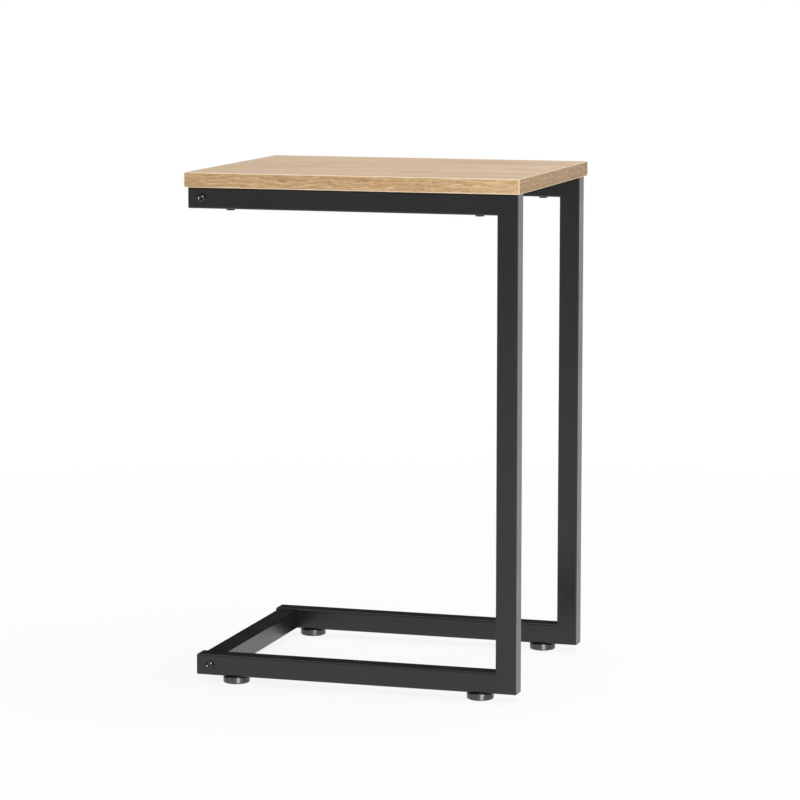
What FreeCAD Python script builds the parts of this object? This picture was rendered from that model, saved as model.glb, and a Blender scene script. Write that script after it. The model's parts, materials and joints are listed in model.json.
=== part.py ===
import FreeCAD, Part
import os
import Sketcher

# C-shaped side table: a banded board on two C frames of square tube, joined by two crossbars at their
# open ends and standing on four screw-in feet.
# The origin is on the floor under the middle of the board. +X runs from the open end to the uprights,
# +Y from the front frame to the back frame and +Z up. All sizes are millimetres.

driving_sizes = {
    # table top
    "top_length": 410,
    "top_depth": 330,
    "top_thickness": 18,
    "band_thickness": 2,
    "band_edge_radius": 1.5,
    "end_overhang": 3,
    "side_overhang": 6,
    # tube frames
    "frame_height": 588,
    "base_setback": 6,
    "tube_side": 25,
    "tube_wall": 1.2,
    "tube_corner_radius": 2,
    # plugs in the rails' open ends
    "plug_head": 2,
    "plug_edge_radius": 0.8,
    "plug_shank": 9,
    "plug_wall": 1.5,
    "plug_shank_gap": 0.6,
    "plug_fin": 0.8,
    "plug_fin_pitch": 2.6,
    "plug_fin_gap": 0.05,
    # bolts that hold the crossbars between the frames
    "bolt_inset": 17,
    "bolt_diameter": 6,
    "bolt_length": 35,
    "bolt_head_diameter": 10.5,
    "bolt_head_height": 3.3,
    "bolt_dome_radius": 2.6,
    "bolt_socket": 4,
    "bolt_socket_depth": 2,
    "bolt_hole_gap": 0.25,
    # nut plates in the crossbars' ends
    "plate_thickness": 3,
    "plate_gap": 0.1,
    "nut_flats": 10,
    "nut_height": 5,
    # screws that hold the board, and the inserts that they turn into
    "screw_inset": 49,
    "screw_diameter": 6,
    "screw_length": 36,
    "screw_head_diameter": 10.8,
    "screw_head_height": 2.2,
    "screw_dome_radius": 0.9,
    "screw_cross_length": 5,
    "screw_cross_width": 1.1,
    "screw_cross_depth": 1.3,
    "screw_hole_gap": 0.3,
    "insert_diameter": 10,
    "insert_length": 13,
    "insert_gap": 0.05,
    # levelling feet
    "foot_inset": 46.5,
    "pad_diameter": 32,
    "pad_height": 8,
    "pad_top_radius": 1.2,
    "pad_bottom_radius": 2,
    "stud_diameter": 8,
    "stud_reach": 20,
    "stud_head_flats": 13,
    "stud_head_height": 4,
    "stud_head_floor": 2,
    "socket_nut_diameter": 11,
    "socket_nut_length": 15,
    "socket_flange_diameter": 15,
    "socket_flange": 1,
    "socket_bulge_diameter": 14,
    "socket_bulge": 3,
    "socket_hole_gap": 0.1,
    # shared by every thread and by every cutting outline
    "thread_gap": 0.05,
    "thread_tip": 1,
    "cut_margin": 5,
}

doc = FreeCAD.newDocument("side_table")
sheet = doc.addObject("Spreadsheet::Sheet", "Sizes")
for row, (name, value) in enumerate(driving_sizes.items(), start=1):
    sheet.set(f"A{row}", name)
    sheet.set(f"B{row}", str(value))
    sheet.setAlias(f"B{row}", name)
doc.recompute()

# Places in the table, as expressions on the sheet
upright_face = "(Sizes.top_length / 2 - Sizes.end_overhang)"
top_rail_end = f"(-{upright_face})"
base_rail_end = f"(Sizes.base_setback - {upright_face})"
frame_face = "(Sizes.top_depth / 2 - Sizes.side_overhang)"
frame_middle = f"({frame_face} - Sizes.tube_side / 2)"
crossbar_half = f"({frame_face} - Sizes.tube_side)"
rail_underside = "(Sizes.pad_height + Sizes.socket_flange)"
base_rail_middle = f"({rail_underside} + Sizes.tube_side / 2)"
top_rail_middle = f"({rail_underside} + Sizes.frame_height - Sizes.tube_side / 2)"
top_rail_underside = f"({rail_underside} + Sizes.frame_height - Sizes.tube_side)"
board_underside = f"({rail_underside} + Sizes.frame_height)"
top_bolt = f"({top_rail_end} + Sizes.bolt_inset)"
base_bolt = f"({base_rail_end} + Sizes.bolt_inset)"
screw_places = (f"({top_rail_end} + Sizes.screw_inset)", f"({upright_face} - Sizes.screw_inset)")
foot_places = {
    "open": f"({base_rail_end} + Sizes.foot_inset)",
    "upright": f"({upright_face} - Sizes.foot_inset)",
}
frame_sides = {"front": -1, "back": 1}

# Sizes that follow from the sheet
tube_bore = "(Sizes.tube_side - 2 * Sizes.tube_wall)"
bore_corner_radius = "max(Sizes.tube_corner_radius - Sizes.tube_wall; Sizes.tube_wall / 4)"
stud_bore_radius = "(Sizes.stud_diameter / 2 + Sizes.thread_gap)"

nodes = []


def worked_out(expression):
    return float(sheet.evalExpression(expression))


def new_body(label):
    body = doc.addObject("PartDesign::Body", label)
    body.Label = label
    return body


def place(target, x="0", y="0", z="0", turn=None):
    if turn:
        axis, angle = turn
        target.Placement = FreeCAD.Placement(FreeCAD.Vector(), FreeCAD.Rotation(axis, angle))
    for axis_name, expression in (("x", x), ("y", y), ("z", z)):
        target.setExpression(f"Placement.Base.{axis_name}", expression)


def new_sketch(body, name, plane, height="0"):
    sketch = body.newObject("Sketcher::SketchObject", name)
    support = next(item for item in body.Origin.OriginFeatures if item.Role == plane)
    sketch.AttachmentSupport = (support, [""])
    sketch.MapMode = "FlatFace"
    sketch.setExpression("AttachmentOffset.Base.z", height)
    return sketch


def bind(sketch, expression, kind, *where):
    index = sketch.addConstraint(Sketcher.Constraint(kind, *where, worked_out(expression)))
    sketch.setExpression(f"Constraints[{index}]", expression)


def pin_point(sketch, curve, end, x, y):
    bind(sketch, x, "DistanceX", -1, 1, curve, end)
    bind(sketch, y, "DistanceY", -1, 1, curve, end)


def draw_polygon(sketch, corners):
    points = [FreeCAD.Vector(worked_out(x), worked_out(y), 0) for x, y in corners]
    ends = points[1:] + points[:1]
    lines = [sketch.addGeometry(Part.LineSegment(start, end)) for start, end in zip(points, ends)]
    for line, following in zip(lines, lines[1:] + lines[:1]):
        sketch.addConstraint(Sketcher.Constraint("Coincident", line, 2, following, 1))
    for line, (x, y) in zip(lines, corners):
        pin_point(sketch, line, 1, x, y)


def draw_rectangle(sketch, low_x, high_x, low_y, high_y):
    draw_polygon(sketch, ((low_x, low_y), (high_x, low_y), (high_x, high_y), (low_x, high_y)))


def draw_rounded_square(sketch, side, radius):
    half = worked_out(side) / 2
    corner = worked_out(radius)
    reach = half - corner
    quarter = FreeCAD.Units.Quantity("90 deg").getValueAs("rad").Value
    lines = []
    arcs = []
    for turn in range(4):
        spin = FreeCAD.Rotation(FreeCAD.Vector(0, 0, 1), 90 * turn)
        start = spin.multVec(FreeCAD.Vector(-reach, -half, 0))
        end = spin.multVec(FreeCAD.Vector(reach, -half, 0))
        lines.append(sketch.addGeometry(Part.LineSegment(start, end)))
        centre = spin.multVec(FreeCAD.Vector(reach, -reach, 0))
        circle = Part.Circle(centre, FreeCAD.Vector(0, 0, 1), corner)
        arcs.append(sketch.addGeometry(Part.ArcOfCircle(circle, quarter * (turn - 1), quarter * turn)))
    for line, arc, following in zip(lines, arcs, lines[1:] + lines[:1]):
        sketch.addConstraint(Sketcher.Constraint("Tangent", line, 2, arc, 1))
        sketch.addConstraint(Sketcher.Constraint("Tangent", arc, 2, following, 1))
    for line, direction in zip(lines, ("Horizontal", "Vertical", "Horizontal", "Vertical")):
        sketch.addConstraint(Sketcher.Constraint(direction, line))
    for arc in arcs[1:]:
        sketch.addConstraint(Sketcher.Constraint("Equal", arcs[0], arc))
    bind(sketch, radius, "Radius", arcs[0])
    bind(sketch, f"{side} / 2", "DistanceY", lines[0], 1, -1, 1)
    bind(sketch, f"{side} / 2", "DistanceX", -1, 1, lines[1], 1)
    bind(sketch, f"{side} / 2", "DistanceY", -1, 1, lines[2], 1)
    bind(sketch, f"{side} / 2", "DistanceX", lines[3], 1, -1, 1)


def draw_hexagon(sketch, flats):
    corner_radius = f"({flats} / sqrt(3))"
    radius = worked_out(corner_radius)
    points = []
    for turn in range(6):
        spin = FreeCAD.Rotation(FreeCAD.Vector(0, 0, 1), 60 * turn)
        points.append(spin.multVec(FreeCAD.Vector(radius, 0, 0)))
    guide = sketch.addGeometry(Part.Circle(FreeCAD.Vector(), FreeCAD.Vector(0, 0, 1), radius), True)
    sketch.addConstraint(Sketcher.Constraint("Coincident", guide, 3, -1, 1))
    bind(sketch, corner_radius, "Radius", guide)
    ends = points[1:] + points[:1]
    lines = [sketch.addGeometry(Part.LineSegment(start, end)) for start, end in zip(points, ends)]
    for line, following in zip(lines, lines[1:] + lines[:1]):
        sketch.addConstraint(Sketcher.Constraint("Coincident", line, 2, following, 1))
        sketch.addConstraint(Sketcher.Constraint("PointOnObject", line, 1, guide))
    for line in lines[1:]:
        sketch.addConstraint(Sketcher.Constraint("Equal", lines[0], line))
    sketch.addConstraint(Sketcher.Constraint("PointOnObject", lines[0], 1, -1))


def draw_circle(sketch, x, y, radius):
    middle = FreeCAD.Vector(worked_out(x), worked_out(y), 0)
    circle = sketch.addGeometry(Part.Circle(middle, FreeCAD.Vector(0, 0, 1), worked_out(radius)))
    bind(sketch, radius, "Radius", circle)
    pin_point(sketch, circle, 3, x, y)


def add_pad(body, sketch, length, symmetric=False, reverse=False):
    pad = body.newObject("PartDesign::Pad", f"{sketch.Name}_pad")
    pad.Profile = sketch
    pad.SideType = "Symmetric" if symmetric else "One side"
    pad.Reversed = reverse
    pad.setExpression("Length", length)
    doc.recompute()
    return pad


def add_pocket(body, sketch, depth=None, symmetric=False, reverse=False):
    before = body.Shape.Volume
    pocket = body.newObject("PartDesign::Pocket", f"{sketch.Name}_pocket")
    pocket.Profile = sketch
    pocket.SideType = "Symmetric" if symmetric else "One side"
    pocket.Reversed = reverse
    if depth:
        pocket.setExpression("Length", depth)
    else:
        pocket.Type = "ThroughAll"
    doc.recompute()
    if body.Shape.Volume >= before:
        raise RuntimeError(f"{pocket.Name} cuts nothing")
    return pocket


def add_revolution(body, sketch):
    revolution = body.newObject("PartDesign::Revolution", f"{sketch.Name}_turned")
    revolution.Profile = sketch
    revolution.ReferenceAxis = (sketch, ["V_Axis"])
    revolution.Angle = 360
    doc.recompute()
    return revolution


def round_edges(body, feature, radius, chosen):
    edges = [f"Edge{number}" for number, edge in enumerate(feature.Shape.Edges, start=1) if chosen(edge)]
    fillet = body.newObject("PartDesign::Fillet", f"{feature.Name}_rounded")
    fillet.Base = (feature, edges)
    fillet.setExpression("Radius", radius)
    doc.recompute()
    return fillet


def near(value, target):
    return abs(value - target) < 0.01


def rim(height, radius):
    def chosen(edge):
        box = edge.BoundBox
        flat = near(box.ZMin, height) and near(box.ZMax, height)
        return flat and near(box.XLength, 2 * radius) and near(box.YLength, 2 * radius)
    return chosen


def keep(node):
    nodes.append(node)
    return node


def group(label, body, places):
    links = []
    for number, place_values in enumerate(places, start=1):
        link = doc.addObject("App::Link", f"{label}_{number}")
        link.LinkedObject = body
        link.LinkTransform = False
        place(link, **place_values)
        links.append(link)
    compound = doc.addObject("Part::Compound", label)
    compound.Label = label
    compound.Links = links
    return keep(compound)


# Table top: a board between four edge bands; the long bands cover the ends of the short ones
def make_board():
    body = new_body("table_top_board")
    half_length = "(Sizes.top_length / 2 - Sizes.band_thickness)"
    half_depth = "(Sizes.top_depth / 2 - Sizes.band_thickness)"
    outline = new_sketch(body, "board_outline", "XY_Plane")
    draw_rectangle(outline, f"-{half_length}", half_length, f"-{half_depth}", half_depth)
    add_pad(body, outline, "Sizes.top_thickness")
    holes = new_sketch(body, "board_insert_holes", "XY_Plane")
    for x in screw_places:
        for side in frame_sides.values():
            radius = "(Sizes.insert_diameter / 2 + Sizes.insert_gap)"
            draw_circle(holes, x, f"{side} * {frame_middle}", radius)
    add_pocket(body, holes, "(Sizes.insert_length + Sizes.thread_tip)", reverse=True)
    place(body, z=board_underside)
    keep(body)


def make_edge_band(label, low_x, high_x, low_y, high_y):
    body = new_body(label)
    outline = new_sketch(body, f"{label}_outline", "XY_Plane")
    draw_rectangle(outline, low_x, high_x, low_y, high_y)
    pad = add_pad(body, outline, "Sizes.top_thickness")
    half_length = worked_out("Sizes.top_length / 2")
    half_depth = worked_out("Sizes.top_depth / 2")
    thickness = worked_out("Sizes.top_thickness")

    def outer_edge(edge):
        middle = edge.CenterOfMass
        on_end = near(abs(middle.x), half_length)
        on_side = near(abs(middle.y), half_depth)
        on_face = near(middle.z, 0) or near(middle.z, thickness)
        return (on_face and (on_end or on_side)) or (on_end and on_side)

    round_edges(body, pad, "min(Sizes.band_edge_radius; 0.8 * Sizes.band_thickness)", outer_edge)
    place(body, z=board_underside)
    keep(body)


def make_edge_bands():
    half_length = "(Sizes.top_length / 2)"
    half_depth = "(Sizes.top_depth / 2)"
    inner_length = f"({half_length} - Sizes.band_thickness)"
    inner_depth = f"({half_depth} - Sizes.band_thickness)"
    full_length = (f"-{half_length}", half_length)
    between_bands = (f"-{inner_depth}", inner_depth)
    make_edge_band("front_edge_band", *full_length, f"-{half_depth}", f"-{inner_depth}")
    make_edge_band("back_edge_band", *full_length, inner_depth, half_depth)
    make_edge_band("open_end_edge_band", f"-{half_length}", f"-{inner_length}", *between_bands)
    make_edge_band("upright_end_edge_band", inner_length, half_length, *between_bands)


# Tubes: one rounded square section, cut to length, mitred where two tubes meet
def make_tube(label, plane, length, symmetric=False):
    body = new_body(label)
    section = new_sketch(body, f"{label}_section", plane)
    draw_rounded_square(section, "Sizes.tube_side", "Sizes.tube_corner_radius")
    draw_rounded_square(section, tube_bore, bore_corner_radius)
    add_pad(body, section, length, symmetric)
    return body


def make_rail(label, length, outer_side):
    body = make_tube(label, "YZ_Plane", length)
    mitre = new_sketch(body, f"{label}_mitre", "XZ_Plane")
    past_end = f"({length} + Sizes.cut_margin)"
    outer = f"{outer_side} * (Sizes.tube_side / 2 + Sizes.cut_margin)"
    inner = f"-{outer_side} * (Sizes.tube_side / 2 + Sizes.cut_margin)"
    mitre_start = f"({length} - Sizes.tube_side - Sizes.cut_margin)"
    draw_polygon(mitre, ((past_end, outer), (past_end, inner), (mitre_start, inner)))
    add_pocket(body, mitre, symmetric=True)
    bolt_hole = new_sketch(body, f"{label}_bolt_hole", "XZ_Plane")
    bolt_radius = "(Sizes.bolt_diameter / 2 + Sizes.bolt_hole_gap)"
    draw_circle(bolt_hole, "(Sizes.bolt_inset - Sizes.plug_head)", "0", bolt_radius)
    add_pocket(body, bolt_hole, symmetric=True)
    return body


def make_top_rail(label, side):
    length = f"({upright_face} - {top_rail_end} - Sizes.plug_head)"
    body = make_rail(label, length, 1)
    holes = new_sketch(body, f"{label}_screw_holes", "XY_Plane")
    radius = "(Sizes.screw_diameter / 2 + Sizes.screw_hole_gap)"
    for x in ("(Sizes.screw_inset - Sizes.plug_head)", f"({length} - Sizes.screw_inset)"):
        draw_circle(holes, x, "0", radius)
    add_pocket(body, holes, symmetric=True)
    place(body, f"{top_rail_end} + Sizes.plug_head", f"{side} * {frame_middle}", top_rail_middle)
    keep(body)


def make_base_rail(label, side):
    length = f"({upright_face} - {base_rail_end} - Sizes.plug_head)"
    body = make_rail(label, length, -1)
    holes = new_sketch(body, f"{label}_foot_holes", "XY_Plane")
    radius = "(Sizes.socket_nut_diameter / 2 + Sizes.socket_hole_gap)"
    for x in ("(Sizes.foot_inset - Sizes.plug_head)", f"({length} - Sizes.foot_inset)"):
        draw_circle(holes, x, "0", radius)
    add_pocket(body, holes)
    place(body, f"{base_rail_end} + Sizes.plug_head", f"{side} * {frame_middle}", base_rail_middle)
    keep(body)


def make_upright(label, side):
    body = make_tube(label, "XY_Plane", "Sizes.frame_height")
    mitres = new_sketch(body, f"{label}_mitres", "XZ_Plane")
    inner = "-(Sizes.tube_side / 2 + Sizes.cut_margin)"
    outer = "(Sizes.tube_side / 2 + Sizes.cut_margin)"
    foot = "-Sizes.cut_margin"
    head = "(Sizes.frame_height + Sizes.cut_margin)"
    foot_mitre = "(Sizes.tube_side + Sizes.cut_margin)"
    head_mitre = "(Sizes.frame_height - Sizes.tube_side - Sizes.cut_margin)"
    draw_polygon(mitres, ((inner, foot), (outer, foot), (inner, foot_mitre)))
    draw_polygon(mitres, ((inner, head_mitre), (outer, head), (inner, head)))
    add_pocket(body, mitres, symmetric=True)
    place(body, f"{upright_face} - Sizes.tube_side / 2", f"{side} * {frame_middle}", rail_underside)
    keep(body)


def make_crossbar(label, x, z):
    body = make_tube(label, "XZ_Plane", f"2 * {crossbar_half}", symmetric=True)
    place(body, x, z=z)
    keep(body)


# End plug: a rounded cap with a hollow shank and thin fins that grip the tube
def make_plug(label, x, side, z):
    body = new_body(label)
    cap = new_sketch(body, f"{label}_cap", "YZ_Plane")
    draw_rounded_square(cap, "Sizes.tube_side", "Sizes.tube_corner_radius")
    head = add_pad(body, cap, "Sizes.plug_head")
    edge_radius = "min(Sizes.plug_edge_radius; Sizes.plug_head / 2)"
    round_edges(body, head, edge_radius, lambda edge: near(edge.BoundBox.XMax, 0))
    shank_side = f"({tube_bore} - 2 * Sizes.plug_shank_gap)"
    shank = new_sketch(body, f"{label}_shank", "YZ_Plane", "Sizes.plug_head")
    draw_rounded_square(shank, shank_side, bore_corner_radius)
    draw_rounded_square(shank, f"({shank_side} - 2 * Sizes.plug_wall)", bore_corner_radius)
    add_pad(body, shank, "Sizes.plug_shank")
    first_fin = "Sizes.plug_head + Sizes.plug_fin_pitch - Sizes.plug_fin"
    fin_outline = new_sketch(body, f"{label}_fin", "YZ_Plane", first_fin)
    draw_rounded_square(fin_outline, f"({tube_bore} - 2 * Sizes.plug_fin_gap)", bore_corner_radius)
    draw_rounded_square(fin_outline, f"({shank_side} - Sizes.plug_wall)", bore_corner_radius)
    fin = add_pad(body, fin_outline, "Sizes.plug_fin")
    fins = body.newObject("PartDesign::LinearPattern", f"{label}_fins")
    fins.Originals = [fin]
    fins.Direction = (fin_outline, ["N_Axis"])
    fins.Occurrences = 3
    fins.setExpression("Length", "2 * Sizes.plug_fin_pitch")
    body.Tip = fins
    doc.recompute()
    place(body, x, f"{side} * {frame_middle}", z)
    keep(body)


# Turned fasteners stand along Z with the underside of the head at the origin and the shank below it
def turned_fastener(label, diameter, length, head_diameter, head_height, dome_radius):
    body = new_body(label)
    profile = new_sketch(body, f"{label}_profile", "XZ_Plane")
    shank = f"({diameter} / 2)"
    head = f"({head_diameter} / 2)"
    draw_polygon(profile, (
        ("0", head_height),
        ("0", f"-{length}"),
        (f"({shank} - Sizes.thread_tip)", f"-{length}"),
        (shank, f"(Sizes.thread_tip - {length})"),
        (shank, "0"),
        (head, "0"),
        (head, head_height),
    ))
    turned = add_revolution(body, profile)
    round_edges(body, turned, dome_radius, rim(worked_out(head_height), worked_out(head)))
    return body


def make_bolts():
    bolt = turned_fastener(
        "frame_bolt", "Sizes.bolt_diameter", "Sizes.bolt_length",
        "Sizes.bolt_head_diameter", "Sizes.bolt_head_height", "Sizes.bolt_dome_radius")
    socket = new_sketch(bolt, "frame_bolt_socket", "XY_Plane", "Sizes.bolt_head_height")
    draw_hexagon(socket, "Sizes.bolt_socket")
    add_pocket(bolt, socket, "Sizes.bolt_socket_depth")
    for name, side in frame_sides.items():
        face = f"{side} * {frame_face}"
        outward = (FreeCAD.Vector(1, 0, 0), -90 * side)
        group(f"{name}_frame_bolts", bolt, (
            {"x": top_bolt, "y": face, "z": top_rail_middle, "turn": outward},
            {"x": base_bolt, "y": face, "z": base_rail_middle, "turn": outward},
        ))


def make_nut_plates():
    plate = new_body("nut_plate")
    outline = new_sketch(plate, "nut_plate_outline", "XY_Plane")
    draw_rounded_square(outline, f"({tube_bore} - 2 * Sizes.plate_gap)", bore_corner_radius)
    add_pad(plate, outline, "Sizes.plate_thickness", reverse=True)
    nut = new_sketch(plate, "nut_plate_nut", "XY_Plane", "-Sizes.plate_thickness")
    draw_hexagon(nut, "Sizes.nut_flats")
    add_pad(plate, nut, "Sizes.nut_height", reverse=True)
    bore = new_sketch(plate, "nut_plate_bore", "XY_Plane")
    draw_circle(bore, "0", "0", "(Sizes.bolt_diameter / 2 + Sizes.thread_gap)")
    add_pocket(plate, bore)
    for name, x, z in (("top", top_bolt, top_rail_middle), ("base", base_bolt, base_rail_middle)):
        places = []
        for side in frame_sides.values():
            outward = (FreeCAD.Vector(1, 0, 0), -90 * side)
            places.append({"x": x, "y": f"{side} * {crossbar_half}", "z": z, "turn": outward})
        group(f"{name}_crossbar_nut_plates", plate, places)


def board_fastener_places(z, turn=None):
    return [
        {"x": x, "y": f"{side} * {frame_middle}", "z": z, "turn": turn}
        for x in screw_places
        for side in frame_sides.values()
    ]


def make_screws():
    screw = turned_fastener(
        "board_screw", "Sizes.screw_diameter", "Sizes.screw_length",
        "Sizes.screw_head_diameter", "Sizes.screw_head_height", "Sizes.screw_dome_radius")
    cross = new_sketch(screw, "board_screw_cross", "XY_Plane", "Sizes.screw_head_height")
    reach = "(Sizes.screw_cross_length / 2)"
    arm = "(Sizes.screw_cross_width / 2)"
    draw_polygon(cross, (
        (reach, f"-{arm}"), (reach, arm), (arm, arm), (arm, reach),
        (f"-{arm}", reach), (f"-{arm}", arm), (f"-{reach}", arm), (f"-{reach}", f"-{arm}"),
        (f"-{arm}", f"-{arm}"), (f"-{arm}", f"-{reach}"), (arm, f"-{reach}"), (arm, f"-{arm}"),
    ))
    add_pocket(screw, cross, "Sizes.screw_cross_depth")
    head_down = (FreeCAD.Vector(1, 0, 0), 180)
    group("table_top_screws", screw, board_fastener_places(top_rail_underside, head_down))


def make_inserts():
    insert = new_body("board_insert")
    profile = new_sketch(insert, "board_insert_profile", "XZ_Plane")
    bore = "(Sizes.screw_diameter / 2 + Sizes.thread_gap)"
    outer = "(Sizes.insert_diameter / 2)"
    draw_polygon(profile, (
        (bore, "0"),
        (outer, "0"),
        (outer, "(Sizes.insert_length - Sizes.thread_tip)"),
        (f"({outer} - Sizes.thread_tip)", "Sizes.insert_length"),
        (bore, "Sizes.insert_length"),
    ))
    add_revolution(insert, profile)
    group("table_top_inserts", insert, board_fastener_places(board_underside))


# Levelling foot: a turned pad moulded round the hexagon head of a threaded stud
def make_foot_pad(label, x, side):
    body = new_body(label)
    profile = new_sketch(body, f"{label}_profile", "XZ_Plane")
    draw_rectangle(profile, "0", "Sizes.pad_diameter / 2", "0", "Sizes.pad_height")
    turned = add_revolution(body, profile)
    radius = worked_out("Sizes.pad_diameter / 2")
    top_rim = rim(worked_out("Sizes.pad_height"), radius)
    rounded = round_edges(body, turned, "Sizes.pad_top_radius", top_rim)
    round_edges(body, rounded, "Sizes.pad_bottom_radius", rim(0, radius))
    seat = new_sketch(body, f"{label}_stud_seat", "XY_Plane", "Sizes.stud_head_floor")
    draw_hexagon(seat, "Sizes.stud_head_flats")
    add_pocket(body, seat, "Sizes.stud_head_height", reverse=True)
    neck = new_sketch(body, f"{label}_neck", "XY_Plane", "Sizes.pad_height")
    draw_circle(neck, "0", "0", stud_bore_radius)
    add_pocket(body, neck, "(Sizes.pad_height - Sizes.stud_head_floor - Sizes.stud_head_height)")
    place(body, x, f"{side} * {frame_middle}")
    keep(body)


def make_foot_stud(label, x, side):
    body = new_body(label)
    head = new_sketch(body, f"{label}_head", "XY_Plane", "Sizes.stud_head_floor")
    draw_hexagon(head, "Sizes.stud_head_flats")
    add_pad(body, head, "Sizes.stud_head_height")
    shank = new_sketch(body, f"{label}_shank", "XZ_Plane")
    radius = "(Sizes.stud_diameter / 2)"
    tip = "(Sizes.pad_height + Sizes.stud_reach)"
    draw_polygon(shank, (
        ("0", "Sizes.stud_head_floor"),
        (radius, "Sizes.stud_head_floor"),
        (radius, f"({tip} - Sizes.thread_tip)"),
        (f"({radius} - Sizes.thread_tip)", tip),
        ("0", tip),
    ))
    add_revolution(body, shank)
    place(body, x, f"{side} * {frame_middle}")
    keep(body)


def make_foot_sockets():
    socket = new_body("foot_socket")
    profile = new_sketch(socket, "foot_socket_profile", "XZ_Plane")
    flange = "(Sizes.socket_flange_diameter / 2)"
    barrel = "(Sizes.socket_nut_diameter / 2)"
    bulge = "(Sizes.socket_bulge_diameter / 2)"
    bulge_top = "(Sizes.tube_wall + Sizes.socket_bulge)"
    draw_polygon(profile, (
        (stud_bore_radius, "-Sizes.socket_flange"),
        (flange, "-Sizes.socket_flange"),
        (flange, "0"),
        (barrel, "0"),
        (barrel, "Sizes.tube_wall"),
        (bulge, "Sizes.tube_wall"),
        (bulge, bulge_top),
        (barrel, bulge_top),
        (barrel, "Sizes.socket_nut_length"),
        (stud_bore_radius, "Sizes.socket_nut_length"),
    ))
    add_revolution(socket, profile)
    group("foot_sockets", socket, [
        {"x": x, "y": f"{side} * {frame_middle}", "z": rail_underside}
        for x in foot_places.values()
        for side in frame_sides.values()
    ])


make_board()
make_edge_bands()
for side_name, side_sign in frame_sides.items():
    make_top_rail(f"{side_name}_top_rail", side_sign)
    make_upright(f"{side_name}_upright", side_sign)
    make_base_rail(f"{side_name}_base_rail", side_sign)
    make_plug(f"{side_name}_top_rail_plug", top_rail_end, side_sign, top_rail_middle)
    make_plug(f"{side_name}_base_rail_plug", base_rail_end, side_sign, base_rail_middle)
make_crossbar("top_crossbar", top_bolt, top_rail_middle)
make_crossbar("base_crossbar", base_bolt, base_rail_middle)
make_nut_plates()
make_bolts()
make_screws()
make_inserts()
for side_name, side_sign in frame_sides.items():
    for end_name, foot_x in foot_places.items():
        make_foot_pad(f"{side_name}_{end_name}_foot_pad", foot_x, side_sign)
        make_foot_stud(f"{side_name}_{end_name}_foot_stud", foot_x, side_sign)
make_foot_sockets()
doc.recompute()

for item in doc.Objects:
    if "Invalid" in item.State or "Error" in item.State:
        raise RuntimeError(f"{item.Name} failed: {item.State}")
for node in nodes:
    if node.Shape.isNull() or not node.Shape.isValid():
        raise RuntimeError(f"{node.Label} has no valid shape")

os.makedirs("parts", exist_ok=True)
for node in nodes:
    node.Shape.exportStep(f"parts/{node.Label}.step")
    print(f"{node.Label}: {len(node.Shape.Solids)} solid, {node.Shape.Volume / 1000:.2f} cm3")
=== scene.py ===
import json
import math
import bmesh
import bpy
from mathutils import Matrix, Vector

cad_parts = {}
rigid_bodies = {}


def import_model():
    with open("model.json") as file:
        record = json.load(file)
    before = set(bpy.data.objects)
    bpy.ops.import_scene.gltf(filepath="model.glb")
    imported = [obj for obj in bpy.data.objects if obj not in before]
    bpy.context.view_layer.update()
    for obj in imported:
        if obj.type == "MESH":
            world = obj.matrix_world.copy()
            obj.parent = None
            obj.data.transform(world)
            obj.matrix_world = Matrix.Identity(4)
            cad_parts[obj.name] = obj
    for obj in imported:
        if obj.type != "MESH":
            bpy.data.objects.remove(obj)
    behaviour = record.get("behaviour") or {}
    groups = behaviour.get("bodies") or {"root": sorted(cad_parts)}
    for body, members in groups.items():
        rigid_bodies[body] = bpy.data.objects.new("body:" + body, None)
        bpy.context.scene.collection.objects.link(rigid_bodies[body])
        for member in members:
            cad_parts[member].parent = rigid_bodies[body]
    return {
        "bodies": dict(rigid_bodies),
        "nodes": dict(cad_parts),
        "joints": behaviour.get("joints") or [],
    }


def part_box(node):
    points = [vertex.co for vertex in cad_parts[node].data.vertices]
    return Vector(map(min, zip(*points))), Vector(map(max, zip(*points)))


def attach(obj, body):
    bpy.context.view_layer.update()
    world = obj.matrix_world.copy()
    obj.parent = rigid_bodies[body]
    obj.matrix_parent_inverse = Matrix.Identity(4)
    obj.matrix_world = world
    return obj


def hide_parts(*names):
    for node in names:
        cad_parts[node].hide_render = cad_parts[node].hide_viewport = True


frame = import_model()
nodes = frame["nodes"]
scene = bpy.context.scene
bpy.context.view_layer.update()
print("frame loaded:", len(nodes), "nodes")

white = (1, 1, 1, 1)
noiseSpan = (0.3, 0.7)  # most values of a noise texture lie between these


# colours are written as they look on screen, 0 to 255, and shaders want them linear
def paint(red, green, blue):
    def toLinear(value):
        share = value / 255
        return share / 12.92 if share <= 0.04045 else ((share + 0.055) / 1.055) ** 2.4
    return (toLinear(red), toLinear(green), toLinear(blue), 1)


# small helpers for node trees
def addNode(tree, kind, inputs, **settings):
    node = tree.nodes.new(kind)
    for key, value in settings.items():
        setattr(node, key, value)
    for key, value in inputs.items():
        if isinstance(value, bpy.types.NodeSocket):
            tree.links.new(value, node.inputs[key])
        else:
            node.inputs[key].default_value = value
    return node


def startMaterial(name):
    material = bpy.data.materials.new(name)
    material.use_nodes = True
    tree = material.node_tree
    return material, tree, tree.nodes["Principled BSDF"]


def dress(tree, shader, colour, roughness, normal):
    tree.links.new(colour, shader.inputs["Base Color"])
    tree.links.new(roughness, shader.inputs["Roughness"])
    tree.links.new(normal, shader.inputs["Normal"])


def calc(tree, operation, first, second=0.0):
    return addNode(tree, "ShaderNodeMath", {0: first, 1: second}, operation=operation).outputs[0]


def addShare(tree, base, value, share):
    return calc(tree, "ADD", base, calc(tree, "MULTIPLY", value, share))


def remap(tree, value, fromLow, fromHigh, toLow, toHigh):
    inputs = {"Value": value, 1: fromLow, 2: fromHigh, 3: toLow, 4: toHigh}
    return addNode(tree, "ShaderNodeMapRange", inputs, interpolation_type="SMOOTHSTEP").outputs[0]


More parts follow.
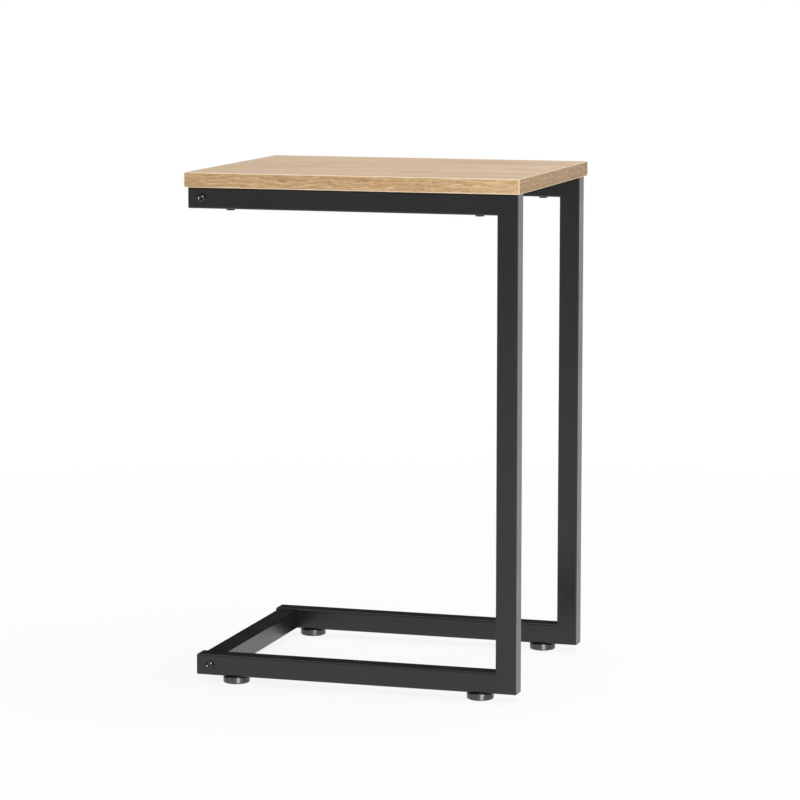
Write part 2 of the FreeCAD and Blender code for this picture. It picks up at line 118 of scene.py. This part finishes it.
def mixColours(tree, factor, first, second):
    inputs = {0: factor, 6: first, 7: second}  # the colour sockets of the node
    return addNode(tree, "ShaderNodeMix", inputs, data_type="RGBA").outputs[2]


def ramp(tree, factor, stops):
    node = addNode(tree, "ShaderNodeValToRGB", {"Fac": factor})
    elements = node.color_ramp.elements
    while len(elements) < len(stops):
        elements.new(0.5)
    for element, (position, colour) in zip(elements, stops):
        element.position = position
        element.color = paint(*colour)
    return node.outputs["Color"]


def objectPlace(tree):
    return addNode(tree, "ShaderNodeTexCoord", {}).outputs["Object"]


def axisParts(tree, vector):
    return addNode(tree, "ShaderNodeSeparateXYZ", {0: vector}).outputs


def noise(tree, vector, scale=1.0, detail=2.0, roughness=0.5, distortion=0.0):
    inputs = {
        "Vector": vector,
        "Scale": scale,
        "Detail": detail,
        "Roughness": roughness,
        "Distortion": distortion,
    }
    return addNode(tree, "ShaderNodeTexNoise", inputs).outputs[0]


# noise that is drawn out along the grain, with so many features per metre along and across it
def grainNoise(tree, grainAxis, along, across, **texture):
    scale = [across, across, across]
    scale["XYZ".index(grainAxis)] = along
    inputs = {"Vector": objectPlace(tree), "Scale": scale}
    stretched = addNode(tree, "ShaderNodeMapping", inputs).outputs["Vector"]
    return noise(tree, stretched, **texture)


def bump(tree, height, distance, strength=1.0):
    inputs = {"Height": height, "Distance": distance, "Strength": strength}
    return addNode(tree, "ShaderNodeBump", inputs).outputs["Normal"]


# oak decor: growth rings, streaks, fibres and a slow drift, each with its share of the tone,
# and short dark ticks and fine pores over them
oakLook = {
    "stops": (
        (0.00, (158, 119, 80)),
        (0.36, (187, 152, 110)),
        (0.62, (206, 175, 133)),
        (1.00, (228, 204, 166)),
    ),
    "ringSpacing": 0.0062,
    "ringForm": {"Distortion": 2.2, "Detail": 3.0, "Detail Scale": 1.4, "Detail Roughness": 0.6},
    "ringShare": 0.34,
    "streak": {"along": 92.0, "across": 780.0, "detail": 4.0, "roughness": 0.6, "distortion": 0.8},
    "streakShare": 1.32,
    "fibre": {"along": 90.0, "across": 1900.0, "detail": 3.0, "roughness": 0.65},
    "fibreShare": 0.60,
    "drift": {"along": 4.5, "across": 42.0},
    "tick": {"along": 140.0, "across": 900.0, "distortion": 1.2},
    "tickRange": (0.54, 0.70),
    "tickColour": (158, 116, 78),
    "tickShare": 0.60,
    "pore": {"along": 110.0, "across": 2600.0, "detail": 1.0},
    "poreRange": (0.60, 0.72),
    "poreColour": (138, 98, 64),
    "poreShare": 0.40,
    "poreDepth": 0.00006,
    "poreStrength": 0.6,
    "roughness": (0.40, 0.54),
}
waveSpan = 2 * math.pi / 20  # one wave of the wave texture at scale 1


def oakRings(tree, ringVector):
    inputs = {"Vector": ringVector, "Scale": waveSpan / oakLook["ringSpacing"], **oakLook["ringForm"]}
    settings = {"wave_type": "RINGS", "rings_direction": "X", "wave_profile": "SAW"}
    return addNode(tree, "ShaderNodeTexWave", inputs, **settings).outputs["Fac"]


def oakGrain(tree, grainAxis, ringVector, printLook):
    fibres = grainNoise(tree, grainAxis, **oakLook["fibre"])
    layers = (
        (oakRings(tree, ringVector), oakLook["ringShare"]),
        (grainNoise(tree, grainAxis, **oakLook["streak"]), oakLook["streakShare"]),
        (fibres, oakLook["fibreShare"]),
        (grainNoise(tree, grainAxis, **oakLook["drift"]), printLook["driftShare"]),
    )
    # half of each share comes off first, so that the layers swing about the print's own tone
    tone = printLook["tone"] - sum(share for _, share in layers) / 2
    tone = addShare(tree, tone, axisParts(tree, objectPlace(tree))[grainAxis], printLook["lean"])
    for layer, share in layers:
        tone = addShare(tree, tone, layer, share)
    colour = ramp(tree, tone, oakLook["stops"])
    tickNoise = grainNoise(tree, grainAxis, **oakLook["tick"])
    ticks = remap(tree, tickNoise, *oakLook["tickRange"], 0.0, oakLook["tickShare"])
    colour = mixColours(tree, ticks, colour, paint(*oakLook["tickColour"]))
    poreNoise = grainNoise(tree, grainAxis, **oakLook["pore"])
    pores = remap(tree, poreNoise, *oakLook["poreRange"], 0.0, 1.0)
    poreAmount = calc(tree, "MULTIPLY", pores, oakLook["poreShare"])
    colour = mixColours(tree, poreAmount, colour, paint(*oakLook["poreColour"]))
    roughness = remap(tree, fibres, *noiseSpan, *oakLook["roughness"])
    surface = calc(tree, "SUBTRACT", 1.0, pores)
    normal = bump(tree, surface, oakLook["poreDepth"], oakLook["poreStrength"])
    return colour, roughness, normal


boardLook = {
    "pithOffset": 0.03,  # across the board
    "pithDepth": 0.052,  # below the face, at the middle of the board
    "pithSlope": 0.11,  # along the board, which draws the rings out into long arches
    "sway": {"along": 4.0, "across": 9.0},  # and how far it moves the pith
    "swayAcross": 0.03,
    "swayDepth": 0.025,
    # painted sheen: a pale pink mixed over the board's print, paler than the same print on the bands,
    # for light glancing off the top
    "sheenLift": (244, 220, 198),
    "sheenLiftShare": 0.46,
    "tone": 0.5,
    "driftShare": 1.60,
    "lean": 0.1,  # how much paler the colour gets along each metre of the grain's axis
    "seamWidth": 0.0008,
    "seam": (150, 118, 86),
    "seamShare": 0.7,
}


def oakBoardMaterial():
    material, tree, shader = startMaterial("oakBoardDecor")
    place = axisParts(tree, objectPlace(tree))
    sway = grainNoise(tree, "X", **boardLook["sway"])
    across = calc(tree, "SUBTRACT", place["Y"], boardLook["pithOffset"])
    across = addShare(tree, across, sway, boardLook["swayAcross"])
    below = addShare(tree, boardLook["pithDepth"], place["X"], boardLook["pithSlope"])
    below = addShare(tree, below, sway, boardLook["swayDepth"])
    ringVector = addNode(tree, "ShaderNodeCombineXYZ", {"Y": across, "Z": below}).outputs[0]
    colour, roughness, normal = oakGrain(tree, "X", ringVector, boardLook)
    # painted sheen of glancing light, mixed over the whole board
    colour = mixColours(tree, boardLook["sheenLiftShare"], colour, paint(*boardLook["sheenLift"]))
    # a fine joint line where the board meets its bands
    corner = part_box("table_top_board")[1]
    toEnd = calc(tree, "SUBTRACT", corner.x, calc(tree, "ABSOLUTE", place["X"]))
    toSide = calc(tree, "SUBTRACT", corner.y, calc(tree, "ABSOLUTE", place["Y"]))
    toBand = calc(tree, "MINIMUM", toEnd, toSide)
    seam = remap(tree, toBand, 0.0, boardLook["seamWidth"], boardLook["seamShare"], 0.0)
    colour = mixColours(tree, seam, colour, paint(*boardLook["seam"]))
    dress(tree, shader, colour, roughness, normal)
    return material


longBandLook = {"grain": "X", "outward": "Y", "tone": 0.5, "driftShare": 0.45, "lean": 0.55}
# the end bands' tone is set lower than the long bands': painted shade on the faces at the table's ends
endBandShadedLook = {"grain": "Y", "outward": "X", "tone": 0.31, "driftShare": 0.45, "lean": 0.08}
bandLook = {
    "refraction": 1.40,
    "wander": {"along": 16.0, "across": 40.0, "detail": 3.0, "roughness": 0.55},
    "wanderWidth": 0.022,
    "mottle": {"along": 90.0, "across": 700.0},
    # pale core of the trimmed edges, partly the core's own colour and partly painted highlight
    "coreAndHighlight": ((226, 203, 170), (243, 225, 196)),
    "coreAngle": (0.90, 0.985),  # how squarely a face looks outward: trimmed below, printed above
}


def oakBandMaterial(name, printLook):
    material, tree, shader = startMaterial(name)
    grainAxis = printLook["grain"]
    wander = grainNoise(tree, grainAxis, **bandLook["wander"])
    height = axisParts(tree, objectPlace(tree))["Z"]
    across = addShare(tree, height, wander, bandLook["wanderWidth"])
    ringVector = addNode(tree, "ShaderNodeCombineXYZ", {"Y": across}).outputs[0]
    colour, roughness, normal = oakGrain(tree, grainAxis, ringVector, printLook)
    # the printed face ends at the trimmed edges, which show the pale core, set paler still as a
    # painted highlight along the rounded edges
    facing = addNode(tree, "ShaderNodeNewGeometry", {}).outputs["Normal"]
    outward = axisParts(tree, facing)[printLook["outward"]]
    trimmed = remap(tree, calc(tree, "ABSOLUTE", outward), *bandLook["coreAngle"], 1.0, 0.0)
    mottle = grainNoise(tree, grainAxis, **bandLook["mottle"])
    coreAndHighlight = ramp(tree, mottle, tuple(zip(noiseSpan, bandLook["coreAndHighlight"])))
    colour = mixColours(tree, trimmed, colour, coreAndHighlight)
    dress(tree, shader, colour, roughness, normal)
    shader.inputs["IOR"].default_value = bandLook["refraction"]
    return material


# plain finishes: tone and gloss drift from patch to patch over a fine raised skin;
# a size counts patches or bumps per metre
patchForm = {"detail": 4.0, "roughness": 0.6}
skinForm = {"detail": 2.0, "roughness": 0.55}
quarterTurn = 0.25  # stands the streak of a turned piece upright


def patchedMaterial(name, look):
    material, tree, shader = startMaterial(name)
    place = objectPlace(tree)
    patches = noise(tree, place, look["patchSize"], **patchForm)
    skin = noise(tree, place, look["skinSize"], **skinForm)
    colour = ramp(tree, patches, tuple(zip(noiseSpan, look["tones"])))
    roughness = remap(tree, patches, *noiseSpan, *look["roughness"])
    dress(tree, shader, colour, roughness, bump(tree, skin, look["skinDepth"]))
    shader.inputs["IOR"].default_value = look["refraction"]
    shader.inputs["Metallic"].default_value = look["metal"]
    shader.inputs["Anisotropic"].default_value = look["turned"]
    shader.inputs["Anisotropic Rotation"].default_value = quarterTurn
    return material


coatLook = {
    "tones": ((17, 17, 18), (24, 24, 25)),
    "roughness": (0.22, 0.29),
    "refraction": 1.54,
    "metal": 0.0,
    "turned": 0.0,
    "patchSize": 22.0,
    "skinSize": 1100.0,  # the coat's orange peel
    "skinDepth": 0.000004,
}
plugLook = {
    "tones": ((20, 20, 20), (30, 30, 31)),
    "roughness": (0.42, 0.54),
    "refraction": 1.48,
    "metal": 0.0,
    "turned": 0.0,
    "patchSize": 60.0,
    "skinSize": 2600.0,
    "skinDepth": 0.00002,
}
footLook = {
    "tones": ((15, 15, 16), (25, 25, 26)),
    "roughness": (0.38, 0.44),
    "refraction": 1.90,
    "metal": 0.0,
    "turned": 0.78,  # ring marks of the mould draw a lamp out into an upright streak
    "patchSize": 130.0,
    "skinSize": 900.0,
    "skinDepth": 0.000003,
}
fastenerLook = {
    "tones": ((14, 14, 15), (24, 24, 25)),
    "roughness": (0.12, 0.18),
    "refraction": 1.6,
    "metal": 0.0,
    "turned": 0.0,
    "patchSize": 420.0,
    "skinSize": 1800.0,
    "skinDepth": 0.000004,
}
zincLook = {
    "tones": ((150, 152, 156), (192, 194, 198)),
    "roughness": (0.26, 0.42),
    "refraction": 1.5,
    "metal": 1.0,
    "turned": 0.0,
    "patchSize": 260.0,
    "skinSize": 1500.0,
    "skinDepth": 0.000005,
}

finishes = {
    "oakBoard": oakBoardMaterial(),
    "longBand": oakBandMaterial("oakLongBandDecor", longBandLook),
    "endBand": oakBandMaterial("oakEndBandShadedDecor", endBandShadedLook),
    "tube": patchedMaterial("blackPowderCoat", coatLook),
    "plug": patchedMaterial("blackPlugPlastic", plugLook),
    "foot": patchedMaterial("blackFootPlastic", footLook),
    "fastener": patchedMaterial("blackFastenerCoat", fastenerLook),
    "zinc": patchedMaterial("brightZincSteel", zincLook),
}
print("finishes made:", ", ".join(finishes))

# which finish each node of the frame takes, by the first words that its name holds
nodeFinishes = (
    ("table_top_board", "oakBoard"),
    ("end_edge_band", "endBand"),
    ("edge_band", "longBand"),
    ("plug", "plug"),
    ("foot_pad", "foot"),
    ("bolts", "fastener"),
    ("screws", "fastener"),
    ("nut_plates", "zinc"),
    ("inserts", "zinc"),
    ("sockets", "zinc"),
    ("stud", "zinc"),
    ("", "tube"),
)
for nodeName, node in nodes.items():
    finish = next(name for words, name in nodeFinishes if words in nodeName)
    node.data.materials.clear()
    node.data.materials.append(finishes[finish])
print("nodes finished")

# fasteners stand along Z while they are built, bolts and screws with the thread below the head's seat
threadForm = {"rootEnd": 0.25, "crestStart": 0.56, "crestEnd": 0.69}  # shares of one pitch
spareTurns = 2  # cut off again at the thread's ends
mergeReach = 1e-7
levelReach = 1e-6
sharpAngle = math.radians(17)


def spinOutline(shape, outline, steps, rise=0.0):
    corners = [shape.verts.new((radius, 0, height)) for radius, height in outline]
    edges = [shape.edges.new(pair) for pair in zip(corners, corners[1:])]
    bmesh.ops.spin(shape, geom=corners + edges, cent=(0, 0, 0), axis=(0, 0, 1), angle=2 * math.pi,
                   dvec=(0, 0, rise / steps), steps=steps, use_merge=rise == 0.0)
    bmesh.ops.remove_doubles(shape, verts=shape.verts, dist=mergeReach)


def openEdges(shape, height):
    def level(edge):
        return all(abs(vert.co.z - height) < levelReach for vert in edge.verts)
    return [edge for edge in shape.edges if edge.is_boundary and level(edge)]


# the zigzag rises one pitch in a turn, is cut flat at both ends and narrows at its free end
def cutThread(shape, look, low, high, tip):
    crest = look["threadRadius"]
    root = crest - look["threadDepth"]
    pitch = look["pitch"]
    outline = []
    for turn in range(-spareTurns, math.ceil((high - low) / pitch) + 1):
        start = low + turn * pitch
        outline.append((root, start))
        outline.append((root, start + threadForm["rootEnd"] * pitch))
        outline.append((crest, start + threadForm["crestStart"] * pitch))
        outline.append((crest, start + threadForm["crestEnd"] * pitch))
    spinOutline(shape, outline, look["steps"], pitch)
    for height, outward in ((low, -1), (high, 1)):
        everything = shape.verts[:] + shape.edges[:] + shape.faces[:]
        bmesh.ops.bisect_plane(shape, geom=everything, dist=mergeReach, plane_co=(0, 0, height),
                               plane_no=(0, 0, outward), clear_outer=True)
    for vert in shape.verts:
        limit = crest - look["tipChamfer"] + abs(vert.co.z - tip)
        radius = vert.co.xy.length
        if radius > limit:
            vert.co.xy *= limit / radius
    bmesh.ops.holes_fill(shape, edges=openEdges(shape, tip), sides=0)


def lowered(shape, edges, vector, taper=1.0):
    made = bmesh.ops.extrude_edge_only(shape, edges=edges)["geom"]
    verts = [item for item in made if isinstance(item, bmesh.types.BMVert)]
    bmesh.ops.scale(shape, vec=(taper, taper, 1), verts=verts)
    bmesh.ops.translate(shape, vec=vector, verts=verts)


# the head is open round its recess, and its neck joins on to the thread
def domedHead(shape, look):
    radius, top, dome = look["headRadius"], look["headHeight"], look["domeRadius"]
    middle, steps = look["domeMiddle"], look["domeSteps"]
    first = math.asin((look["crown"] - middle) / dome)
    last = math.asin(min(1.0, (radius - middle) / dome))  # rounding can pass 1
    outline = [(look["recessRing"], top)]
    for step in range(steps + 1):
        angle = first + (last - first) * step / steps
        drop = dome * (math.cos(first) - math.cos(angle))
        outline.append((middle + dome * math.sin(angle), top - drop))
    outline.append((radius, look["seatChamfer"]))
    outline.append((radius - look["seatChamfer"], 0))
    outline.append((look["threadRadius"], 0))
    outline.append((look["threadRadius"], -look["neck"]))
    spinOutline(shape, outline, look["steps"])
    runout = openEdges(shape, -look["neck"]) + openEdges(shape, -look["threadStart"])
    bmesh.ops.bridge_loops(shape, edges=runout)


def hexRecess(shape, look):
    top = look["headHeight"]
    entry = top - look["recessEntry"]
    bmesh.ops.create_circle(shape, segments=6, radius=look["recessSize"] / math.sqrt(3),
                            matrix=Matrix.Translation((0, 0, entry)))
    rim = [edge for edge in shape.edges if edge.is_wire]
    ring = openEdges(shape, top)
    bmesh.ops.bridge_loops(shape, edges=ring + rim)
    lowered(shape, rim, (0, 0, top - look["recessDepth"] - entry))
    floorRim = openEdges(shape, top - look["recessDepth"])
    lowered(shape, floorRim, (0, 0, -look["drillDepth"]), look["drillShare"])
    bottom = top - look["recessDepth"] - look["drillDepth"]
    bmesh.ops.holes_fill(shape, edges=openEdges(shape, bottom), sides=0)


# a grid of three by three tiles without its corners is the cross
def crossRecess(shape, look):
    top = look["headHeight"]
    ring = openEdges(shape, top)
    reach, arm = look["recessSize"] / 2, look["recessArm"] / 2
    grid = bmesh.ops.create_grid(shape, x_segments=3, y_segments=3, size=reach,
                                 matrix=Matrix.Translation((0, 0, top)))
    for vert in grid["verts"]:
        for axis in (0, 1):
            if abs(vert.co[axis]) < reach / 2:
                vert.co[axis] = math.copysign(arm, vert.co[axis])
    tiles = {face for vert in grid["verts"] for face in vert.link_faces}
    corners = [face for face in tiles if min(map(abs, face.calc_center_median().xy)) > arm]
    bmesh.ops.delete(shape, geom=corners, context="FACES")
    tiles = [face for face in tiles if face.is_valid]
    rim = [edge for edge in {edge for face in tiles for edge in face.edges} if edge.is_boundary]
    bmesh.ops.delete(shape, geom=tiles, context="FACES_KEEP_BOUNDARY")
    bmesh.ops.bridge_loops(shape, edges=ring + rim)
    lowered(shape, rim, (0, 0, -look["recessDepth"]), look["recessTaper"])
    bmesh.ops.holes_fill(shape, edges=openEdges(shape, top - look["recessDepth"]), sides=0)


def shadeByAngle(shape):
    bmesh.ops.recalc_face_normals(shape, faces=shape.faces)
    for face in shape.faces:
        face.smooth = True
    for edge in shape.edges:
        edge.smooth = edge.calc_face_angle(math.pi) < sharpAngle


def meshObject(name, shape, material):
    mesh = bpy.data.meshes.new(name)
    shape.to_mesh(mesh)
    shape.free()
    mesh.materials.append(material)
    piece = bpy.data.objects.new(name, mesh)
    scene.collection.objects.link(piece)
    return piece


# one fastener, copied to each of its places, makes one piece that stands for a node of the frame
def placePiece(name, fastener, places, finish, body, nodeName):
    shadeByAngle(fastener)
    pattern = bpy.data.meshes.new(name + "Pattern")
    fastener.to_mesh(pattern)
    fastener.free()
    shape = bmesh.new()
    for place in places:
        count = len(shape.verts)
        shape.from_mesh(pattern)
        shape.verts.ensure_lookup_table()
        bmesh.ops.transform(shape, matrix=place, verts=shape.verts[count:])
    bpy.data.meshes.remove(pattern)
    piece = meshObject(name, shape, finishes[finish])
    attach(piece, body)
    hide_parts(nodeName)


boltLook = {
    "headRadius": 0.00525,
    "headHeight": 0.0033,
    "crown": 0.00315,  # where the dome begins
    "domeRadius": 0.0058,
    "domeMiddle": 0.0,  # how far the centre of the dome's arc stands from the axis
    "domeSteps": 8,
    "seatChamfer": 0.00015,
    "neck": 0.0006,
    "threadStart": 0.0011,
    "recessSize": 0.004,
    "recessRing": 0.0031,
    "recessEntry": 0.0005,
    "recessDepth": 0.002,
    "drillDepth": 0.0004,
    "drillShare": 0.2,
    "length": 0.035,
    "threadRadius": 0.003,
    "threadDepth": 0.00061,
    "pitch": 0.001,
    "tipChamfer": 0.0008,
    "steps": 48,
}


def makeBolt():
    shape = bmesh.new()
    cutThread(shape, boltLook, -boltLook["length"], -boltLook["threadStart"], -boltLook["length"])
    domedHead(shape, boltLook)
    hexRecess(shape, boltLook)
    return shape


for side, outward in (("front", -1), ("back", 1)):
    boltsNode = side + "_frame_bolts"
    low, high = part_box(boltsNode)
    headRadius = boltLook["headRadius"]
    seat = (low if outward < 0 else high).y - outward * boltLook["headHeight"]
    turned = Matrix.Rotation(-outward * math.pi / 2, 4, "X")
    upperBolt = Matrix.Translation((low.x + headRadius, seat, high.z - headRadius)) @ turned
    lowerBolt = Matrix.Translation((high.x - headRadius, seat, low.z + headRadius)) @ turned
    placePiece(side + "FrameBolts", makeBolt(), (upperBolt, lowerBolt), "fastener",
               "table", boltsNode)
print("frame bolts made")

screwLook = {
    "headRadius": 0.0054,
    "headHeight": 0.0022,
    "crown": 0.0045,
    "domeRadius": 0.0009,
    "domeMiddle": 0.0045,
    "domeSteps": 6,
    "seatChamfer": 0.00012,
    "neck": 0.0006,
    "threadStart": 0.0011,
    "recessSize": 0.005,
    "recessRing": 0.0028,
    "recessArm": 0.0011,
    "recessDepth": 0.0013,
    "recessTaper": 0.6,
    "length": 0.036,
    "threadRadius": 0.003,
    "threadDepth": 0.00061,
    "pitch": 0.001,
    "tipChamfer": 0.0008,
    "steps": 48,
}


def makeScrew():
    shape = bmesh.new()
    cutThread(shape, screwLook, -screwLook["length"], -screwLook["threadStart"], -screwLook["length"])
    domedHead(shape, screwLook)
    crossRecess(shape, screwLook)
    return shape


low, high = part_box("table_top_screws")
headRadius = screwLook["headRadius"]
headDown = Matrix.Rotation(math.pi, 4, "X")
screwPlaces = []
for x in (low.x + headRadius, high.x - headRadius):
    for y in (low.y + headRadius, high.y - headRadius):
        screwPlaces.append(Matrix.Translation((x, y, low.z + screwLook["headHeight"])) @ headDown)
placePiece("tableTopScrews", makeScrew(), screwPlaces, "fastener",
           "table", "table_top_screws")
print("table top screws made")

studLook = {
    "headFlats": 0.013,
    "headHeight": 0.004,
    "threadRadius": 0.004,
    "threadDepth": 0.00077,
    "pitch": 0.00125,
    "tipChamfer": 0.001,
    "steps": 48,
}


def makeStud(length):
    shape = bmesh.new()
    headTop = studLook["headHeight"]
    headCorner = studLook["headFlats"] / math.sqrt(3)
    cutThread(shape, studLook, headTop, length, length)
    bmesh.ops.create_circle(shape, cap_ends=True, segments=6, radius=headCorner)
    lowered(shape, openEdges(shape, 0), (0, 0, headTop))
    bmesh.ops.bridge_loops(shape, edges=openEdges(shape, headTop))
    return shape


for side in ("front", "back"):
    for end in ("open", "upright"):
        studNode = f"{side}_{end}_foot_stud"
        low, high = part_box(studNode)
        middle = Matrix.Translation(((low.x + high.x) / 2, (low.y + high.y) / 2, low.z))
        studName = side + end.capitalize() + "FootStud"
        placePiece(studName, makeStud(high.z - low.z), (middle,), "zinc",
                   f"{side}_{end}_foot", studNode)
print("foot studs made")

# camera: a long lens a little right of the front and slightly above the top
cameraLook = {
    "place": (1.1854, -3.8583, 0.8866),
    "turn": 0.29526,
    "dip": 0.13708,
    "lens": 150.07,
    "sensor": 36.0,
    "reach": 500.0,
}
cameraData = bpy.data.cameras.new("photoCamera")
cameraData.lens = cameraLook["lens"]
cameraData.sensor_width = cameraLook["sensor"]
cameraData.clip_end = cameraLook["reach"]
photoCamera = bpy.data.objects.new("photoCamera", cameraData)
photoCamera.location = cameraLook["place"]
photoCamera.rotation_euler = (math.pi / 2 - cameraLook["dip"], 0, cameraLook["turn"])
scene.collection.objects.link(photoCamera)
scene.camera = photoCamera
print("camera set")


def flatSheet(width, depth, matrix):
    shape = bmesh.new()
    sized = matrix @ Matrix.Diagonal((width / 2, depth / 2, 1, 1))
    bmesh.ops.create_grid(shape, x_segments=1, y_segments=1, size=1, matrix=sized)
    return shape


def stagePiece(name, shape, material):
    piece = meshObject(name, shape, material)
    return piece


def glowMaterial(name, level):
    material, tree, shader = startMaterial(name)
    tree.nodes.remove(shader)
    glow = addNode(tree, "ShaderNodeEmission", {"Color": white, "Strength": level})
    tree.links.new(glow.outputs[0], tree.nodes["Material Output"].inputs["Surface"])
    return material


# only the named kinds of ray meet a board or a lamp of the stage
def shownTo(piece, *sights):
    for sight in ("camera", "diffuse", "glossy", "transmission", "volume_scatter", "shadow"):
        setattr(piece, "visible_" + sight, sight in sights)


# floor: white to the eye and in reflections, with the table's own soft shadow near it
floorLook = {
    "size": 300.0,
    "colour": (247, 247, 247),
    "nearWhite": 0.88,  # how much of the near floor is plain white, and the rest is lit
    "shadowReach": (0.7, 1.8),
    "level": 1.0,
}


def floorMaterial():
    material, tree, shader = startMaterial("paleFloor")
    tree.nodes.remove(shader)
    path = addNode(tree, "ShaderNodeLightPath", {}).outputs
    seen = calc(tree, "MAXIMUM", path["Is Camera Ray"], path["Is Glossy Ray"])
    seen = calc(tree, "MAXIMUM", seen, path["Is Transmission Ray"])
    length = addNode(tree, "ShaderNodeVectorMath", {0: objectPlace(tree)}, operation="LENGTH")
    reach = length.outputs["Value"]
    plain = remap(tree, reach, *floorLook["shadowReach"], floorLook["nearWhite"], 1.0)
    matte = addNode(tree, "ShaderNodeBsdfDiffuse", {"Color": paint(*floorLook["colour"])})
    glow = addNode(tree, "ShaderNodeEmission", {"Color": white, "Strength": floorLook["level"]})
    share = calc(tree, "MULTIPLY", seen, plain)
    lit = addNode(tree, "ShaderNodeMixShader", {0: share, 1: matte.outputs[0], 2: glow.outputs[0]})
    # clear from below, so the underside can be looked at
    clear = addNode(tree, "ShaderNodeBsdfTransparent", {})
    below = addNode(tree, "ShaderNodeNewGeometry", {}).outputs["Backfacing"]
    both = addNode(tree, "ShaderNodeMixShader", {0: below, 1: lit.outputs[0], 2: clear.outputs[0]})
    tree.links.new(both.outputs[0], tree.nodes["Material Output"].inputs["Surface"])
    return material


floorShape = flatSheet(floorLook["size"], floorLook["size"], Matrix.Identity(4))
floor = stagePiece("floor", floorShape, floorMaterial())
# it sinks with the foot that is screwed out furthest, so that this foot still stands on it
for joint in frame["joints"]:
    follow = floor.constraints.new("COPY_LOCATION")
    follow.target = frame["bodies"][joint["child"]]
    follow.use_x = False
    follow.use_y = False
    follow.use_offset = True
lowest = floor.constraints.new("LIMIT_LOCATION")
lowest.use_min_z = True
lowest.min_z = -max(joint["range_m"][1] for joint in frame["joints"])

# backdrop: a white dome round the stage for the eye, which carries on the floor's white in low views
backdropLook = {
    "radius": 30.0,
    "sides": 64,
    "level": 1.0,
}
backdropShape = bmesh.new()
bmesh.ops.create_uvsphere(backdropShape, u_segments=backdropLook["sides"],
                          v_segments=backdropLook["sides"] // 2, radius=backdropLook["radius"])
backdropMaterial = glowMaterial("whiteBackdrop", backdropLook["level"])
shownTo(stagePiece("backdrop", backdropShape, backdropMaterial), "camera", "transmission")

# flag: a grey board in front, seen only in reflections, which keeps the upper tubes' faces dark
flagLook = {
    "distance": 2.7,
    "width": 6.0,
    "height": 0.9,
    "level": 0.5,
}
flagMiddle = Matrix.Translation((0, -flagLook["distance"], flagLook["height"] / 2))
flagMatrix = flagMiddle @ Matrix.Rotation(math.pi / 2, 4, "X")
flagShape = flatSheet(flagLook["width"], flagLook["height"], flagMatrix)
shownTo(stagePiece("greyFlag", flagShape, glowMaterial("greyFlag", flagLook["level"])), "glossy")
print("floor, backdrop and flag set")

# light: a soft bright ceiling over dim walls, a key lamp at the front right, a weak fill at the left
# and a soft lamp overhead
worldLook = {
    "horizon": 0.03,
    "ceiling": 0.85,
    "band": (0.34, 0.80),  # from the walls to the ceiling, as the height of a direction
}
world = bpy.data.worlds.new("studio")
world.use_nodes = True
worldTree = world.node_tree
background = worldTree.nodes["Background"]
skyward = addNode(worldTree, "ShaderNodeTexCoord", {}).outputs["Generated"]
skyHeight = axisParts(worldTree, skyward)["Z"]
skyLevel = remap(worldTree, skyHeight, *worldLook["band"], worldLook["horizon"], worldLook["ceiling"])
worldTree.links.new(skyLevel, background.inputs["Strength"])
background.inputs["Color"].default_value = white
scene.world = world

# the key lamp has no gloss of its own, so no rail glares in views from behind; two glint lamps near it
# draw the highlights of the feet and the bolts alone
lamps = {
    "keyLamp": {
        "place": (1.20, -2.15, 0.45),
        "size": (0.85, 0.85),
        "power": 29.0,
        "gloss": "none",
    },
    "fillLamp": {
        "place": (-1.8, -1.6, 1.1),
        "size": (0.8, 1.2),
        "power": 4.0,
        "gloss": "all",
    },
    "topLamp": {
        "place": (0.35, 0.35, 2.5),
        "size": (1.2, 1.2),
        "power": 21.0,
        "gloss": "all",
    },
    "upperGlint": {
        "place": (1.3, -1.8, 2.0),
        "size": (0.7, 0.7),
        "power": 60.0,
        "gloss": "only",
    },
    "lowerGlint": {
        "place": (1.15, -2.06, 0.27),
        "size": (0.5, 0.45),
        "power": 42.0,
        "gloss": "only",
    },
}
lampAim = Vector((0, 0, 0.45))
glossRays = {"none": ("diffuse",), "all": ("diffuse", "glossy"), "only": ("glossy",)}
glintPieces = bpy.data.collections.new("glintPieces")
for piece in scene.objects:
    if piece.name.endswith(("foot_pad", "Bolts")):
        glintPieces.objects.link(piece)
for lampName, lampLook in lamps.items():
    lampData = bpy.data.lights.new(lampName, "AREA")
    lampData.shape = "RECTANGLE"
    lampData.size, lampData.size_y = lampLook["size"]
    lampData.energy = lampLook["power"]
    lamp = bpy.data.objects.new(lampName, lampData)
    lamp.location = lampLook["place"]
    lamp.rotation_euler = (lampAim - lamp.location).to_track_quat("-Z", "Y").to_euler()
    shownTo(lamp, "shadow", *glossRays[lampLook["gloss"]])
    if lampLook["gloss"] == "only":
        lamp.light_linking.receiver_collection = glintPieces
    scene.collection.objects.link(lamp)
scene.view_settings.view_transform = "Standard"
print("light set")
